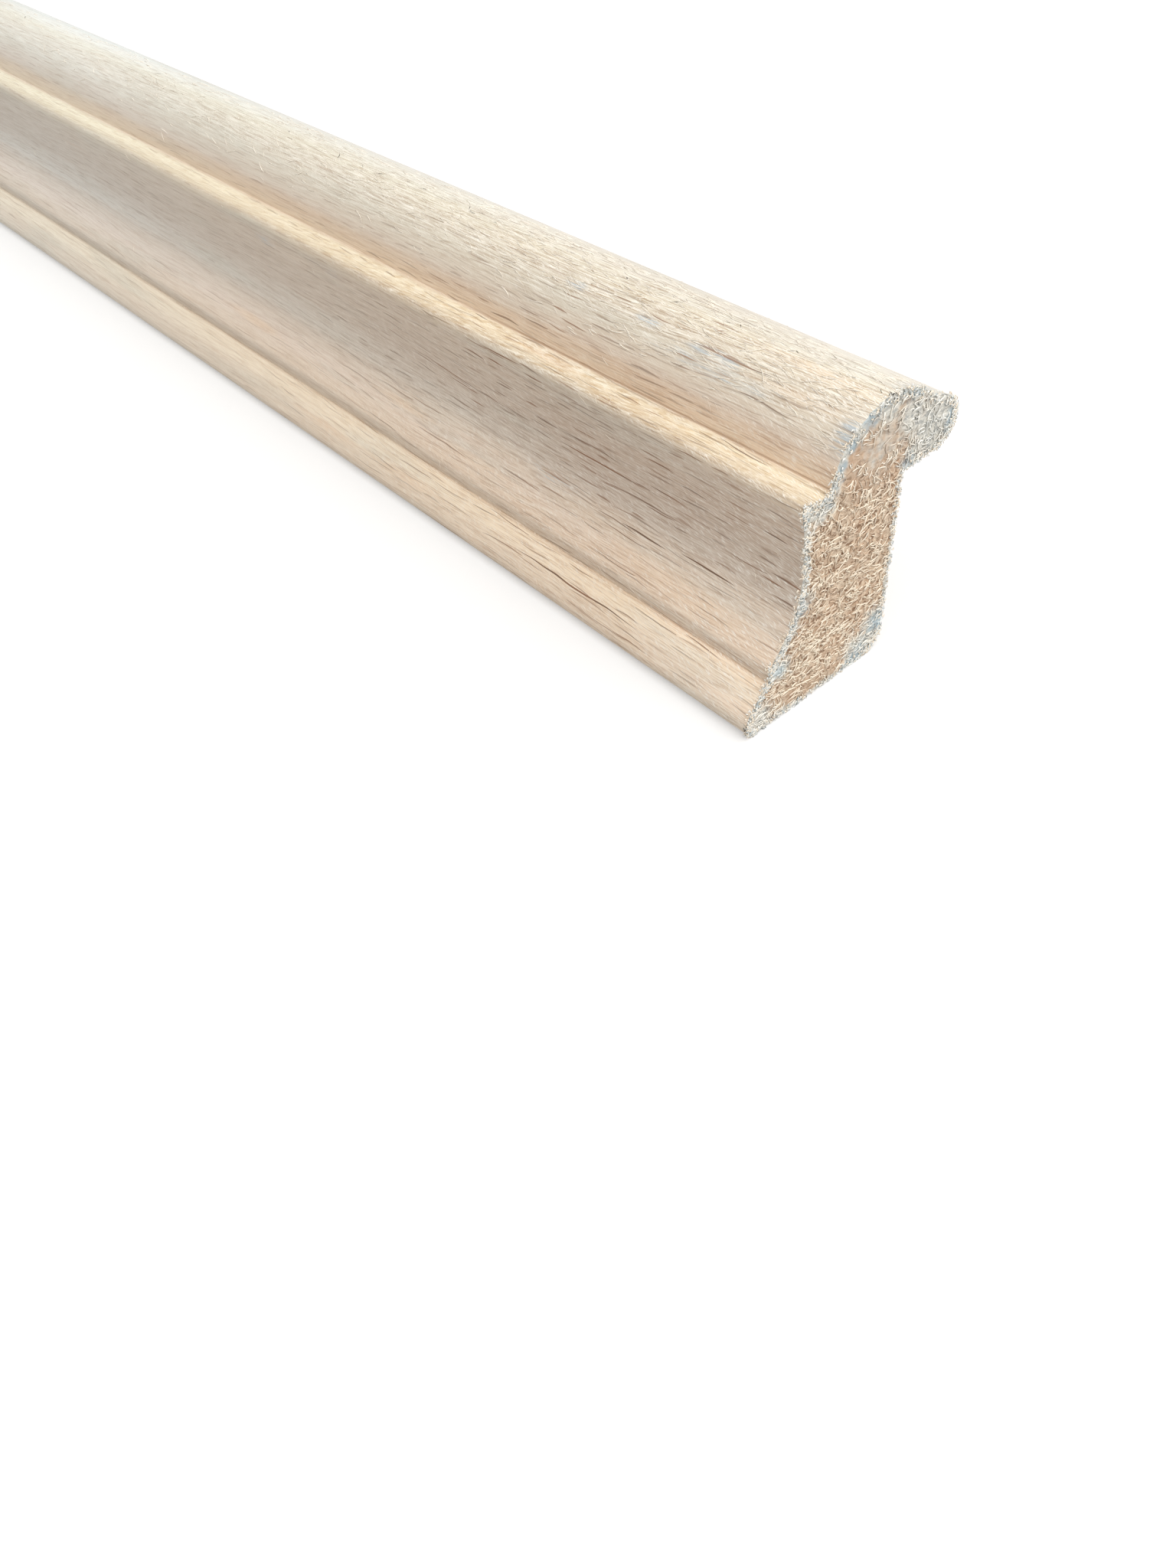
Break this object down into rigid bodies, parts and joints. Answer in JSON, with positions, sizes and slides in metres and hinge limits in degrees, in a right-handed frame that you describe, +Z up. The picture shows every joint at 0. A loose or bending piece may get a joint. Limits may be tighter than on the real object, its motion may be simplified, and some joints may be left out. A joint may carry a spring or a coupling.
{
  "type": "rebated moulding",
  "caption": "Straight beech moulding with a round nose, ledge, cove and bead on its face and a rebate under its back lip.",
  "frame": {"origin": "middle of the length and of the overall depth, on the plane of the flat foot", "axes": "+X along the length, +Y from the moulded face towards the rebate, +Z up from the foot to the crest of the nose"},
  "size_m": [1, 0.0272, 0.03],
  "materials": {
    "beech": "bare planed beech, unsealed, with rough sawn ends"
  },
  "bodies": {
    "root": {"rebated_moulding": "beech"}
  },
  "joints": []
}
